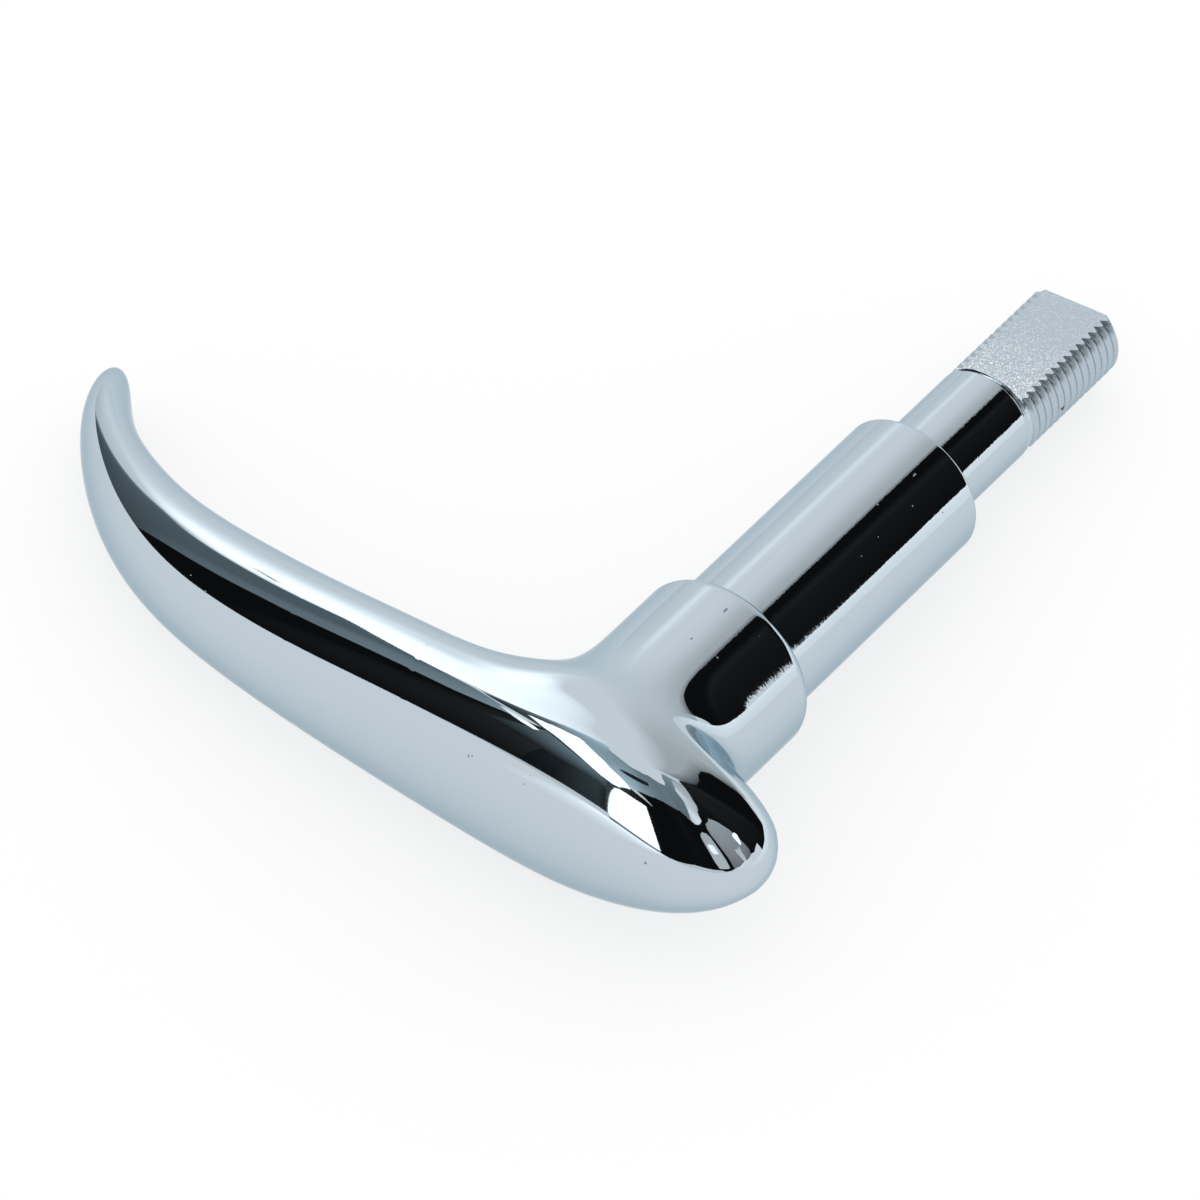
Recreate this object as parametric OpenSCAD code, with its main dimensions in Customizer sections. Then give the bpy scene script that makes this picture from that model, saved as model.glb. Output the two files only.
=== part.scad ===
// Engine lid handle: one chrome plated casting.
// Frame: +Y runs along the shaft to its threaded end, y = 0 is the boss shoulder that
// seats on the lid. The lever points to -X, and +Z is square to the lever's plane.

/* [Shaft] */
// diameter of the plain shaft and of the thread's crests
shaft_d = 10; // [9:0.5:12]
// from the boss shoulder to the end of the shaft
shaft_len = 54.4; // [50:0.2:64]
// length of the threaded end
thread_len = 14.2; // [10:0.2:16]
// distance between the two flats of the threaded end
flats_across = 6; // [5:0.1:8]
// chamfer on the shaft's end
end_chamfer = 0.5; // [0.2:0.1:1]
// width of the relief groove in front of the thread
relief_w = 0.9; // [0.6:0.1:2]
// depth of the relief groove
relief_depth = 0.2; // [0.1:0.05:0.8]

/* [Sleeve and boss] */
// outside diameter of the journal that turns in the lid
sleeve_d = 14.5; // [13:0.1:16]
// length of the journal, from the boss shoulder
sleeve_len = 28; // [20:0.5:34]
// radius on the journal's end edge
sleeve_edge_r = 0.5; // [0.2:0.1:1]
// outside diameter of the boss
boss_d = 17.9; // [17:0.1:19]
// length of the straight part of the boss
boss_len = 6; // [4:0.1:6.3]
// radius on the boss's shoulder edge
boss_edge_r = 1.4; // [0.5:0.1:1.6]

/* [Lever] */
// how far the lever's tip stands from the shaft axis
lever_reach = 70.7; // [66:0.2:80]
// how far the heel stands out behind the shaft axis
heel_reach = 18.8; // [18:0.1:20]
// full width of the lever beside the boss, before the blend adds to it
lever_width = 20.8; // [20:0.1:22]
// thickness of the lever half way to the tip
lever_thick = 10.8; // [10.2:0.1:11.5]
// from the boss shoulder down to the lever's centre line
lever_drop = 21.9; // [21:0.1:23.5]
// blend of the boss into the back of the lever
blend_back = 12.3; // [9:0.1:12.6]
// blend of the boss into the heel
blend_heel = 8.7; // [6:0.1:9]

/* [Hidden] */
$fn = 96;
// sides of the lever's sections
around = 72;
// the stations of the lever run from its tip to its heel, one spacing apart,
// and crowd together where the tip curls up; the last one stands this much inside the heel
heel_inset = 1.8;
// and the first one this much beyond the tip
tip_overrun = 7.5;
heel_station = heel_reach - heel_inset;
spacing = (lever_reach + heel_reach + tip_overrun) / 10;
station_place = [9.366, 9.058, 8.623, 7.88, 7, 6, 5, 4, 3, 2, 1, 0, -1];
// turn of each section from square to X, in degrees
station_turn = [83.3, 65.9, 47.9, 25.5, 0, 0, 0, 0, 0, 0, 0, 0, 0];
// height of the centre line above its lowest run, as a share of the lever's drop
station_rise = [1.405, 1.032, 0.704, 0.431, 0.236, 0.147, 0.092, 0.058, 0.023, 0, 0.042, 0.062, 0.082];
// half thickness, as a share of the mid thickness
station_thick = [0.311, 0.199, 0.219, 0.339, 0.444, 0.484, 0.5, 0.515, 0.525, 0.544, 0.629, 0.814, 0.999];
// half width, as a share of the full width
station_wide = [0.121, 0.163, 0.222, 0.282, 0.326, 0.358, 0.396, 0.441, 0.474, 0.499, 0.485, 0.393, 0.3];
// stations between the tip's end and the start of its rounding
tip_round = 1.15;
// where the heel starts to round off
heel_start = -4.1;
heel_power = 2.7;
tip_power = 2.2;
// hub of the fan of sections that turns the lever up into the boss, behind the shaft axis
hub_back = 16.5;
hub = [-hub_back, -boss_len];
// last station that is cut square to X; beyond it the sections turn with the tip
square_to = 5;

// smooth curve through a list of station values, t in stations from the tip
function curve(list, t) =
    let (n = len(list) - 4, i = max(0, min(n, floor(t))), f = t - i)
    (pow(1 - f, 3) * list[i] + (3 * pow(f, 3) - 6 * f * f + 4) * list[i + 1]
    + (-3 * pow(f, 3) + 3 * f * f + 3 * f + 1) * list[i + 2] + pow(f, 3) * list[i + 3]) / 6;
function clip(v, low, high) = max(low, min(high, v));
// place, centre height, half thickness and half width at station t
function place_at(t) = heel_station - spacing * curve(station_place, t);
function centre_at(t) = lever_drop * (curve(station_rise, t) - 1);
function thick_at(t) = lever_thick * curve(station_thick, t);
function wide_at(t) = lever_width * curve(station_wide, t);
function station_of(x) = 10 - (heel_station - x) / spacing;

// how far the heel has rounded off at x, 1 in the lever and 0 at the heel's end
function heel_share(x) =
    sqrt(max(0.000001, 1 - pow(clip((x - heel_start) / (heel_reach - heel_start), 0, 1), heel_power)));
// signed measure to the lever's skin, near zero a distance
function to_lever(x, y, z) =
    let (t = clip(station_of(x), 0, 10), w = heel_share(x), a = thick_at(t) * w, b = wide_at(t) * w,
        d = (norm([(y - centre_at(t)) / a, z / b]) - 1) * sqrt(a * b))
    x > heel_reach ? max(d, x - heel_reach) : d;
// the cast part of the boss stands this much inside its turned end
boss_step = 0.06;
// and from this far down, inside the lever, it tapers off over about this much
boss_root = 17;
boss_taper = 3;
// the blend changes from the back's width to the heel's over this much, either side of the axis
blend_change = 10;
// distance to the boss's wall
function to_boss(x, y, z) =
    norm([x, z]) - boss_d / 2 + boss_step + pow(max(-boss_root - y, 0) / boss_taper, 3);
// the two joined with a smooth blend that is wider on the lever's back
function to_skin(x, y, z) =
    let (l = to_lever(x, y, z), c = to_boss(x, y, z), m = clip((x / blend_change + 1) / 2, 0, 1),
        s = m * m * m * (m * (6 * m - 15) + 10), k = blend_back * (1 - s) + blend_heel * s,
        h = max(k - abs(l - c), 0) / k)
    min(l, c) - h * h * h * k / 6;
function skin_at(o, d, r) = to_skin(o[0] + r * d[0], o[1] + r * d[1], o[2] + r * d[2]);
// walk out of the section's middle until the skin is passed, then halve the step
stride = lever_thick / 10;
function walk(o, d, r) = r > 40 * stride || skin_at(o, d, r) > 0 ? r : walk(o, d, r + stride);
function halve(o, d, low, high, n) =
    let (m = (low + high) / 2)
    n == 0 ? m
    : skin_at(o, d, m) > 0 ? halve(o, d, low, m, n - 1)
    : halve(o, d, m, high, n - 1);
function skin_point(o, d) = let (r = walk(o, d, stride), s = halve(o, d, r - stride, r, 13)) o + s * d;

// a ring of skin points in the plane through o that holds e and Z
function blend_ring(o, e) = [for (j = [0:around - 1]) let (v = 360 * j / around)
    skin_point([o[0], o[1], 0], [e[0] * cos(v), e[1] * cos(v), sin(v)])];
// a ring of the free part of the lever at station t
function tip_share(t) = sqrt(max(0, 1 - pow(clip((tip_round - t) / tip_round, 0, 1), tip_power)));
function lever_ring(t) =
    let (w = tip_share(t), a = thick_at(t) * w, b = wide_at(t) * w, q = curve(station_turn, t))
    [for (j = [0:around - 1]) let (v = 360 * j / around, r = a * cos(v))
        [place_at(t) - sin(q) * r, centre_at(t) - cos(q) * r, b * sin(v)]];

fan = [for (k = [0:27]) 90 * pow(k / 27, 1.25)];
fan_rings = [for (q = fan) let (e = [cos(q), -sin(q)]) blend_ring(hub + hub_back * e, e)];
// square sections from the hub to the last square station
last_square = heel_station - spacing * (10 - square_to);
square_rings = [for (k = [1:5]) let (x = hub[0] + (last_square - hub[0]) * k / 6)
    blend_ring([x, centre_at(station_of(x))], [0, -1])];
free_t = [for (k = [0:19]) square_to + (tip_round - square_to) * k / 20];
tip_t = [for (k = [0:11]) tip_round * (1 - sin(90 * k / 12))];
free_rings = [for (t = concat(free_t, tip_t)) lever_ring(t)];
rings = concat(fan_rings, square_rings, free_rings);

// closed body from a stack of rings and one end point
module ring_body(stack, tip) {
    m = len(stack);
    side = [for (i = [0:m - 2], j = [0:around - 1]) let (k = (j + 1) % around)
        each [[i * around + j, (i + 1) * around + j, (i + 1) * around + k],
            [i * around + j, (i + 1) * around + k, i * around + k]]];
    last = (m - 1) * around;
    end = [for (j = [0:around - 1]) [last + j, m * around, last + (j + 1) % around]];
    polyhedron([for (s = stack) each s, tip], concat([[for (j = [0:around - 1]) j]], side, end));
}
// a round rod along +Y from y0 to y1, with its far edge rounded by r
module rod(d, y0, y1, r) {
    n = 8;
    arc = [for (i = [0:n]) [d / 2 - r + r * sin(90 * (n - i) / n), y1 - r + r * cos(90 * (n - i) / n)]];
    rotate([-90, 0, 0])
        rotate_extrude()
            polygon(concat([[0, y0], [d / 2, y0]], [for (i = [0:n]) arc[i]], [[0, y1]]));
}
module shaft() {
    thread_y = shaft_len - thread_len;
    rotate([-90, 0, 0])
        rotate_extrude()
            polygon([[0, -boss_len], [shaft_d / 2, -boss_len], [shaft_d / 2, thread_y - relief_w],
                [shaft_d / 2 - relief_depth, thread_y - relief_w + relief_depth],
                [shaft_d / 2 - relief_depth, thread_y],
                [shaft_d / 2, thread_y], [shaft_d / 2, shaft_len - end_chamfer],
                [shaft_d / 2 - end_chamfer, shaft_len], [0, shaft_len]]);
}
module flats() {
    for (side = [0, 1])
        mirror([0, 0, side])
            translate([-shaft_d, shaft_len - thread_len, flats_across / 2])
                cube([2 * shaft_d, 2 * thread_len, shaft_d]);
}

module handle() {
    color([0.76, 0.8, 0.83])
        difference() {
            union() {
                ring_body(rings, [place_at(0), centre_at(0), 0]);
                rod(boss_d, -boss_len, 0, boss_edge_r);
                rod(sleeve_d, -boss_len, sleeve_len, sleeve_edge_r);
                shaft();
            }
            flats();
        }
}

handle();
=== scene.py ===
"""Engine lid handle: one chrome plated casting, lying on its side in a small photo studio."""
import math

import bpy
import numpy as np
from mathutils import Matrix, Vector


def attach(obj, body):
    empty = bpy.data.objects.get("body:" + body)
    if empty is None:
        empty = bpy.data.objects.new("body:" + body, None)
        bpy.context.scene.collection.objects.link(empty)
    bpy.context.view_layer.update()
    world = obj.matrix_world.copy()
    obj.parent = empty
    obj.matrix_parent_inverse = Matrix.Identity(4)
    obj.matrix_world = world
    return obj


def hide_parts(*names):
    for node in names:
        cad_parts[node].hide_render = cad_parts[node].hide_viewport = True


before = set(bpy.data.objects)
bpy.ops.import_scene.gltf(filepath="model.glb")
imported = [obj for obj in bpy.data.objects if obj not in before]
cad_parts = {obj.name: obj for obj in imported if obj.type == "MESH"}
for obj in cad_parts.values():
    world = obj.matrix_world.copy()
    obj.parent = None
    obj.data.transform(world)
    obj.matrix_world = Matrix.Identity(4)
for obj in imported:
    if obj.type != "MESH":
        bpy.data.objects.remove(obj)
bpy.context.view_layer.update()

MM = 0.001

# sizes, as in the part's source, mm
SHAFT_R = 5.0
SHAFT_LEN = 54.4
THREAD_LEN = 14.2
THREAD_Y = SHAFT_LEN - THREAD_LEN
FLAT_Z = 3.0
END_CHAMFER = 0.5
RELIEF_W = 0.9
RELIEF_DEPTH = 0.2
SLEEVE_R = 7.25
SLEEVE_LEN = 28.0
SLEEVE_EDGE_R = 0.5
BOSS_R = 8.95
BOSS_LEN = 6.0
BOSS_ROOT = 17.0
BOSS_TAPER = 3.0
BOSS_EDGE_R = 1.4
LEVER_THICK = 10.8
BLEND_BACK = 12.3
BLEND_HEEL = 8.7
# half width of the change between the two blends
BLEND_CHANGE = 10.0
HEEL_START = -4.1
HEEL_POWER = 2.7

# these four are a touch smaller than in the source, so that the smooth skin stays inside the
# box of the solid, whose skin is faceted
LEVER_REACH = 70.69
HEEL_REACH = 18.79
LEVER_WIDTH = 20.6
LEVER_DROP = 21.89

# stations of the lever, numbered from beyond its tip to the last one, which is inside the heel
STATIONS = 10
HEEL_STATION = 17.0
# the first one would stand this much beyond the tip, if the stations there didn't crowd together
TIP_OVERRUN = 9.3
SPACING = (LEVER_REACH + HEEL_STATION + TIP_OVERRUN) / STATIONS
STATION_PLACE = [9.366, 9.058, 8.623, 7.88, 7, 6, 5, 4, 3, 2, 1, 0, -1]
# turn of each section from square to X, in degrees
STATION_TURN = [83.3, 65.9, 47.9, 25.5, 0, 0, 0, 0, 0, 0, 0, 0, 0]
# height of the centre line above its lowest run, as a share of the lever's drop
STATION_RISE = [1.405, 1.032, 0.704, 0.431, 0.236, 0.147, 0.092, 0.058, 0.023, 0, 0.042, 0.062, 0.082]
# half thickness, as a share of the mid thickness
STATION_THICK = [0.311, 0.199, 0.219, 0.339, 0.444, 0.484, 0.5, 0.515, 0.525, 0.544, 0.629, 0.814, 0.999]
# half width, as a share of the full width
STATION_WIDE = [0.121, 0.163, 0.222, 0.282, 0.326, 0.358, 0.396, 0.441, 0.474, 0.499, 0.485, 0.393, 0.3]
# stations between the tip's end and the start of its rounding
TIP_ROUND = 1.15
TIP_POWER = 2.2
# hub of the fan of sections that turns the lever up into the boss, behind the shaft axis
HUB = (-16.5, -BOSS_LEN)
# sets the fan's sections closer together beside the boss
FAN_POWER = 1.25
# last station that is cut square to X; beyond it the sections turn with the tip
SQUARE_TO = 5

# the mesh: steps from the middle of the thread's arc to a flat's edge, and across one flat
HALF_ARC = 18
FLAT_STEPS = 44
AROUND = 4 * HALF_ARC + 2 * FLAT_STEPS
# where the points of a ring stand, from +X towards +Z
RING = 2 * np.pi * (np.arange(AROUND) / AROUND)
# how many rings each stretch of the lever gets
FAN_RINGS = 110
SQUARE_RINGS = 18
FREE_RINGS = 110
TIP_RINGS = 26
# the search for the skin: no skin point is farther than this from its ring's middle, mm
FARTHEST = 40
HALVINGS = 24
# keeps the lever's sections from vanishing at the heel's end
LEAST_SQUARE = 1e-6
# a point past the heel counts as at least this far outside, mm
PAST_HEEL = 0.01


# the lever's shape
def curve(values, t):
    """Uniform cubic b-spline through the stations, t counted from the tip."""
    values = np.asarray(values, float)
    i = np.clip(np.floor(t), 0, len(values) - 4).astype(int)
    f = t - i
    return ((1 - f) ** 3 * values[i] + (3 * f**3 - 6 * f**2 + 4) * values[i + 1]
            + (-3 * f**3 + 3 * f**2 + 3 * f + 1) * values[i + 2] + f**3 * values[i + 3]) / 6


def place_at(t):
    return HEEL_STATION - SPACING * curve(STATION_PLACE, t)


def centre_at(t):
    return LEVER_DROP * (curve(STATION_RISE, t) - 1)


def thick_at(t):
    return LEVER_THICK * curve(STATION_THICK, t)


def wide_at(t):
    return LEVER_WIDTH * curve(STATION_WIDE, t)


def station_of(x):
    """Station at x, where the stations are evenly spaced."""
    return STATIONS - (HEEL_STATION - x) / SPACING


def to_lever(x, y, z):
    """Signed measure to the lever's skin, near zero a distance in mm."""
    t = np.clip(station_of(x), 0, STATIONS)
    rounded = np.clip((x - HEEL_START) / (HEEL_REACH - HEEL_START), 0, 1) ** HEEL_POWER
    w = np.sqrt(np.maximum(LEAST_SQUARE, 1 - rounded))
    a, b = thick_at(t) * w, wide_at(t) * w
    d = (np.hypot((y - centre_at(t)) / a, z / b) - 1) * np.sqrt(a * b)
    return np.where(x > HEEL_REACH, np.maximum(d, x - HEEL_REACH + PAST_HEEL), d)


def to_skin(x, y, z):
    """Signed measure to lever and boss, joined with a smooth blend that is wider on the lever's back."""
    lever = to_lever(x, y, z)
    boss = np.hypot(x, z) - BOSS_R + (np.maximum(-BOSS_ROOT - y, 0) / BOSS_TAPER) ** 3
    m = np.clip((x / BLEND_CHANGE + 1) / 2, 0, 1)
    heel_share = m**3 * (m * (6 * m - 15) + 10)
    blend = BLEND_BACK * (1 - heel_share) + BLEND_HEEL * heel_share
    near = np.maximum(blend - np.abs(lever - boss), 0) / blend
    return np.minimum(lever, boss) - near**3 * blend / 6


def skin_rings(origins, axes):
    """Rings of skin points, each in the plane through its origin that holds its axis and Z."""
    o = np.zeros((len(origins), AROUND, 3))
    o[:, :, :2] = np.asarray(origins)[:, None, :]
    d = np.zeros_like(o)
    d[:, :, :2] = np.asarray(axes)[:, None, :] * np.cos(RING)[None, :, None]
    d[:, :, 2] = np.sin(RING)[None, :]

    def outside(r):
        p = o + d * r[..., None]
        return to_skin(p[..., 0], p[..., 1], p[..., 2]) > 0

    # walk out in steps of 1 mm until the skin is passed, then halve the step
    low = np.zeros(o.shape[:2])
    high = np.full(o.shape[:2], float(FARTHEST))
    found = np.zeros(o.shape[:2], bool)
    for step in range(1, FARTHEST + 1):
        new = outside(np.full(o.shape[:2], float(step))) & ~found
        low = np.where(new, step - 1.0, low)
        high = np.where(new, float(step), high)
        found |= new
    for _ in range(HALVINGS):
        middle = (low + high) / 2
        out = outside(middle)
        high = np.where(out, middle, high)
        low = np.where(out, low, middle)
    points = o + d * ((low + high) / 2)[..., None]
    return points, skin_normals(points)


def skin_normals(p, step=1e-3):
    """Unit normals of the skin, from the slope of the measure to it."""
    n = np.zeros_like(p)
    for k in range(3):
        ahead, behind = p.copy(), p.copy()
        ahead[..., k] += step
        behind[..., k] -= step
        n[..., k] = to_skin(*np.moveaxis(ahead, -1, 0)) - to_skin(*np.moveaxis(behind, -1, 0))
    return unit(n)


def unit(n):
    return n / np.linalg.norm(n, axis=-1, keepdims=True)


def fan_rings():
    """Sections that turn the lever up into the boss, about a hub behind the boss's foot."""
    q = np.radians(90) * np.linspace(0, 1, FAN_RINGS) ** FAN_POWER
    axes = np.stack([np.cos(q), -np.sin(q)], 1)
    return skin_rings(np.array(HUB) - HUB[0] * axes, axes)


def square_rings():
    """Sections cut square to X, from the hub to the last square station."""
    last = HEEL_STATION - SPACING * (STATIONS - SQUARE_TO)
    x = np.linspace(HUB[0], last, SQUARE_RINGS + 2)[1:-1]
    y = centre_at(station_of(x))
    return skin_rings(np.stack([x, y], 1), np.tile([0.0, -1.0], (len(x), 1)))


def free_skin(u, v):
    """Points of the free lever: u runs from 0 at the last square station over 1, where the tip
    starts to round off, to 2 at its end, and v goes round the section."""
    u, v = u[:, None], v[None, :]
    t = np.where(u < 1, SQUARE_TO + (TIP_ROUND - SQUARE_TO) * u,
                 TIP_ROUND * (1 - np.sin(np.clip(u - 1, 0, 1) * np.pi / 2)))
    w = np.sqrt(np.maximum(0, 1 - np.clip((TIP_ROUND - t) / TIP_ROUND, 0, 1) ** TIP_POWER))
    r = thick_at(t) * w * np.cos(v)
    q = np.radians(curve(STATION_TURN, t))
    return np.stack([place_at(t) - np.sin(q) * r, centre_at(t) - np.cos(q) * r,
                     wide_at(t) * w * np.sin(v)], 2)


def free_rings(step=1e-5):
    """The free part of the lever, whose sections turn with the tip."""
    u = np.concatenate([np.linspace(0, 1, FREE_RINGS, endpoint=False),
                        np.linspace(1, 2, TIP_RINGS, endpoint=False)])
    along = free_skin(u + step, RING) - free_skin(np.maximum(u - step, 0), RING)
    across = free_skin(u, RING + step) - free_skin(u, RING - step)
    return free_skin(u, RING), unit(np.cross(across, along))


# the turned parts: small radii that the source leaves out, mm
FILLET_R = 0.25
GROOVE_EDGE_R = 0.12
# the bead in the groove and the hollows beside it, from the groove's floor and its lower edge
BEAD_R = 0.11
BEAD_OUT = 0.04
BEAD_Y = 0.40
HOLLOW_R = 0.13
HOLLOW_OUT = 0.02
HOLLOW_HIGH_Y = 0.68
HOLLOW_LOW_Y = 0.14
# gaps that one face bridges between an arc and a straight stretch
GAP = 0.05
EDGE_GAP = 0.2
WIDE_GAP = 0.3


def arc(cx, cy, r, start, end, n, hollow=False):
    """n points of a profile on an arc between two angles from the radial direction, in degrees,
    as (radius, y, normal's radial part, normal's y part)."""
    side = -1 if hollow else 1
    turns = [(math.cos(a), math.sin(a)) for a in np.radians(np.linspace(start, end, n))]
    return [(cx + r * c, cy + r * s, side * c, side * s) for c, s in turns]


def straight(radius, start, end, n):
    """n points of a profile along a plain cylinder."""
    return [(radius, y, 1, 0) for y in np.linspace(start, end, n)]


def turned_profile():
    """The outline from the relief groove to the foot of the boss."""
    groove = SHAFT_R - RELIEF_DEPTH
    groove_y = THREAD_Y - RELIEF_W
    out = arc(groove + HOLLOW_OUT, groove_y + HOLLOW_HIGH_Y, HOLLOW_R, 160, 215, 4, hollow=True)
    out += arc(groove + BEAD_OUT, groove_y + BEAD_Y, BEAD_R, 60, -60, 8)
    out += arc(groove + HOLLOW_OUT, groove_y + HOLLOW_LOW_Y, HOLLOW_R, 145, 215, 5, hollow=True)
    out += arc(SHAFT_R - GROOVE_EDGE_R, groove_y - GROOVE_EDGE_R, GROOVE_EDGE_R, 75, 0, 6)
    out += straight(SHAFT_R, groove_y - WIDE_GAP, SLEEVE_LEN + FILLET_R + GAP, 14)
    out += arc(SHAFT_R + FILLET_R, SLEEVE_LEN + FILLET_R, FILLET_R, 180, 270, 6, hollow=True)
    out += arc(SLEEVE_R - SLEEVE_EDGE_R, SLEEVE_LEN - SLEEVE_EDGE_R, SLEEVE_EDGE_R, 90, 0, 10)
    out += straight(SLEEVE_R, SLEEVE_LEN - SLEEVE_EDGE_R - EDGE_GAP, FILLET_R + GAP, 20)
    out += arc(SLEEVE_R + FILLET_R, FILLET_R, FILLET_R, 180, 270, 6, hollow=True)
    out += arc(BOSS_R - BOSS_EDGE_R, -BOSS_EDGE_R, BOSS_EDGE_R, 90, 0, 16)
    out += straight(BOSS_R, -BOSS_EDGE_R - EDGE_GAP, -BOSS_LEN + WIDE_GAP, 12)
    return np.array(out)


def turned_rings():
    """The profile turned round the shaft axis, with its normals."""
    r, y, nr, ny = (column[:, None] for column in turned_profile().T)
    flat = np.ones_like(RING)
    return (np.stack([r * np.cos(RING), y * flat, r * np.sin(RING)], 2),
            unit(np.stack([nr * np.cos(RING), ny * flat, nr * np.sin(RING)], 2)))


# the threaded end, mm
PITCH = 1.0
RINGS_A_TURN = 16
# depth beside the flats, and in the middle of the arcs, where plating fills it
THREAD_DEPTH = 0.46
THREAD_SHALLOW = 0.16
# the sine of the angle up to which it is filled, and over how much more it gets deep
FILLED_TO = 0.32
DEEPENS_OVER = 0.28
# shares of half a pitch that the root and the flank take; the crest has the rest
ROOT_SHARE = 0.12
FLANK_SHARE = 0.66
# how far the crests stand inside the shaft's radius
CREST_DROP = 0.03
# the groove's radius changes to the thread's over this length
RUN_IN = 0.5
# the last ring and the thread's materials keep this much from the ends of the thread
END_GAP = 0.02
CORNER_HALVINGS = 30

# the cast grain of the flats
GRAIN_SEED = 7
GRAIN_WAVES = 60
# coarsest and finest wave, as radians in a mm
GRAIN_COARSE = 10
GRAIN_FINE = 26
GRAIN_DEPTH = 0.012
# grain this high is level with the flat, and higher grain is cut off there
GRAIN_LEVEL = 1.2
# it fades out over one part in this many of the flat's width, at either edge
EDGE_FADES = 12
# beside the shaft's end it rises from this share over this length, mm
END_SHARE = 0.15
END_FADE = 1.0
# and it also rises along the flat, from this share at its end to the whole at the groove
FLAT_SHARE = 0.35


def thread_radius(v, y):
    """Radius of the thread at angle v and height y, with flat crests, sloped flanks and a narrow root."""
    phase = np.mod(y / PITCH + v / (2 * np.pi), 1.0)
    # 0 at the middle of the root, 1 at the middle of the crest
    off = np.abs(phase - 0.5) * 2
    share = np.clip((off - ROOT_SHARE) / FLANK_SHARE, 0, 1)
    fade = np.clip((y - THREAD_Y) / RUN_IN, 0, 1)
    corner = np.clip((np.abs(np.sin(v)) - FILLED_TO) / DEEPENS_OVER, 0, 1) ** 2
    depth = THREAD_SHALLOW + (THREAD_DEPTH - THREAD_SHALLOW) * corner
    r = SHAFT_R - CREST_DROP - depth * (1 - share)
    r = r * fade + (SHAFT_R - RELIEF_DEPTH) * (1 - fade)
    chamfer = SHAFT_R - END_CHAMFER + (SHAFT_LEN - y)
    return np.minimum(r, chamfer)


def corner_angle(y, left, far):
    """Angle from the X axis at which a flat cuts the thread at height y, found by halving: on the
    -X side if left, else on the +X side, and at the flat at -Z if far, else at the one at +Z."""
    low = np.zeros_like(y)
    high = np.full_like(y, np.pi / 2)
    for _ in range(CORNER_HALVINGS):
        a = (low + high) / 2
        v = -a if far else a
        above = thread_radius(np.pi - v if left else v, y) * np.sin(a) > FLAT_Z
        high = np.where(above, a, high)
        low = np.where(above, low, a)
    return (low + high) / 2


def grain(x, y):
    """Height of the cast grain on a flat, mostly between -2 and 2: crossed waves that look random."""
    rng = np.random.default_rng(GRAIN_SEED)
    out = np.zeros_like(x)
    for _ in range(GRAIN_WAVES):
        a = rng.uniform(0, 2 * np.pi)
        k = rng.uniform(GRAIN_COARSE, GRAIN_FINE)
        out += np.cos(k * (x * np.cos(a) + y * np.sin(a)) + rng.uniform(0, 2 * np.pi))
    return out / math.sqrt(GRAIN_WAVES / 2)


def round_points(v, h):
    """Points of the thread at the angles v and the height h."""
    r = thread_radius(v, h)
    return np.stack([r * np.cos(v), np.full_like(v, h), r * np.sin(v)], 1)


def flat_points(first, last, h, z):
    """Points across one flat from one corner's angle to the other's, with its cast grain."""
    share = np.arange(FLAT_STEPS) / FLAT_STEPS
    x0, x1 = (thread_radius(v, h) * np.cos(v) for v in (first, last))
    x = x0 + (x1 - x0) * share
    edge = np.clip(np.minimum(share, 1 - share) * EDGE_FADES, 0, 1)
    end = np.clip((SHAFT_LEN - h) / END_FADE, END_SHARE, 1)
    start = np.clip((SHAFT_LEN - h) / THREAD_LEN, FLAT_SHARE, 1)
    depth = GRAIN_DEPTH * edge * end * start * (grain(x + z, np.full_like(x, h)) - GRAIN_LEVEL)
    return np.stack([x, np.full_like(x, h), z + np.sign(z) * np.minimum(depth, 0)], 1)


def thread_rings():
    """Rings from the end of the shaft to the relief groove, each with two arcs and two flats."""
    count = int(THREAD_LEN / PITCH * RINGS_A_TURN)
    y = np.concatenate([np.linspace(SHAFT_LEN, THREAD_Y + END_GAP, count), [THREAD_Y]])
    steps = np.arange(-HALF_ARC, HALF_ARC) / HALF_ARC
    right = corner_angle(y, left=False, far=False)
    left = corner_angle(y, left=True, far=False)
    far_right = -corner_angle(y, left=False, far=True)
    far_left = corner_angle(y, left=True, far=True)
    rings = []
    for i, h in enumerate(y):
        right_arc = np.where(steps < 0, -steps * far_right[i], steps * right[i])
        left_arc = np.pi + np.where(steps < 0, steps * left[i], steps * far_left[i])
        ring = np.concatenate([
            round_points(right_arc, h),
            flat_points(right[i], np.pi - left[i], h, FLAT_Z),
            round_points(left_arc, h),
            flat_points(np.pi + far_left[i], 2 * np.pi + far_right[i], h, -FLAT_Z),
        ])
        # a ring starts at +X, as the others do
        rings.append(np.roll(ring, -HALF_ARC, 0))
    return np.array(rings)


# the mesh of the whole casting
SHARP = math.radians(38)


def put_in_scene(name, data):
    obj = bpy.data.objects.new(name, data)
    bpy.context.scene.collection.objects.link(obj)
    return obj


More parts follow.
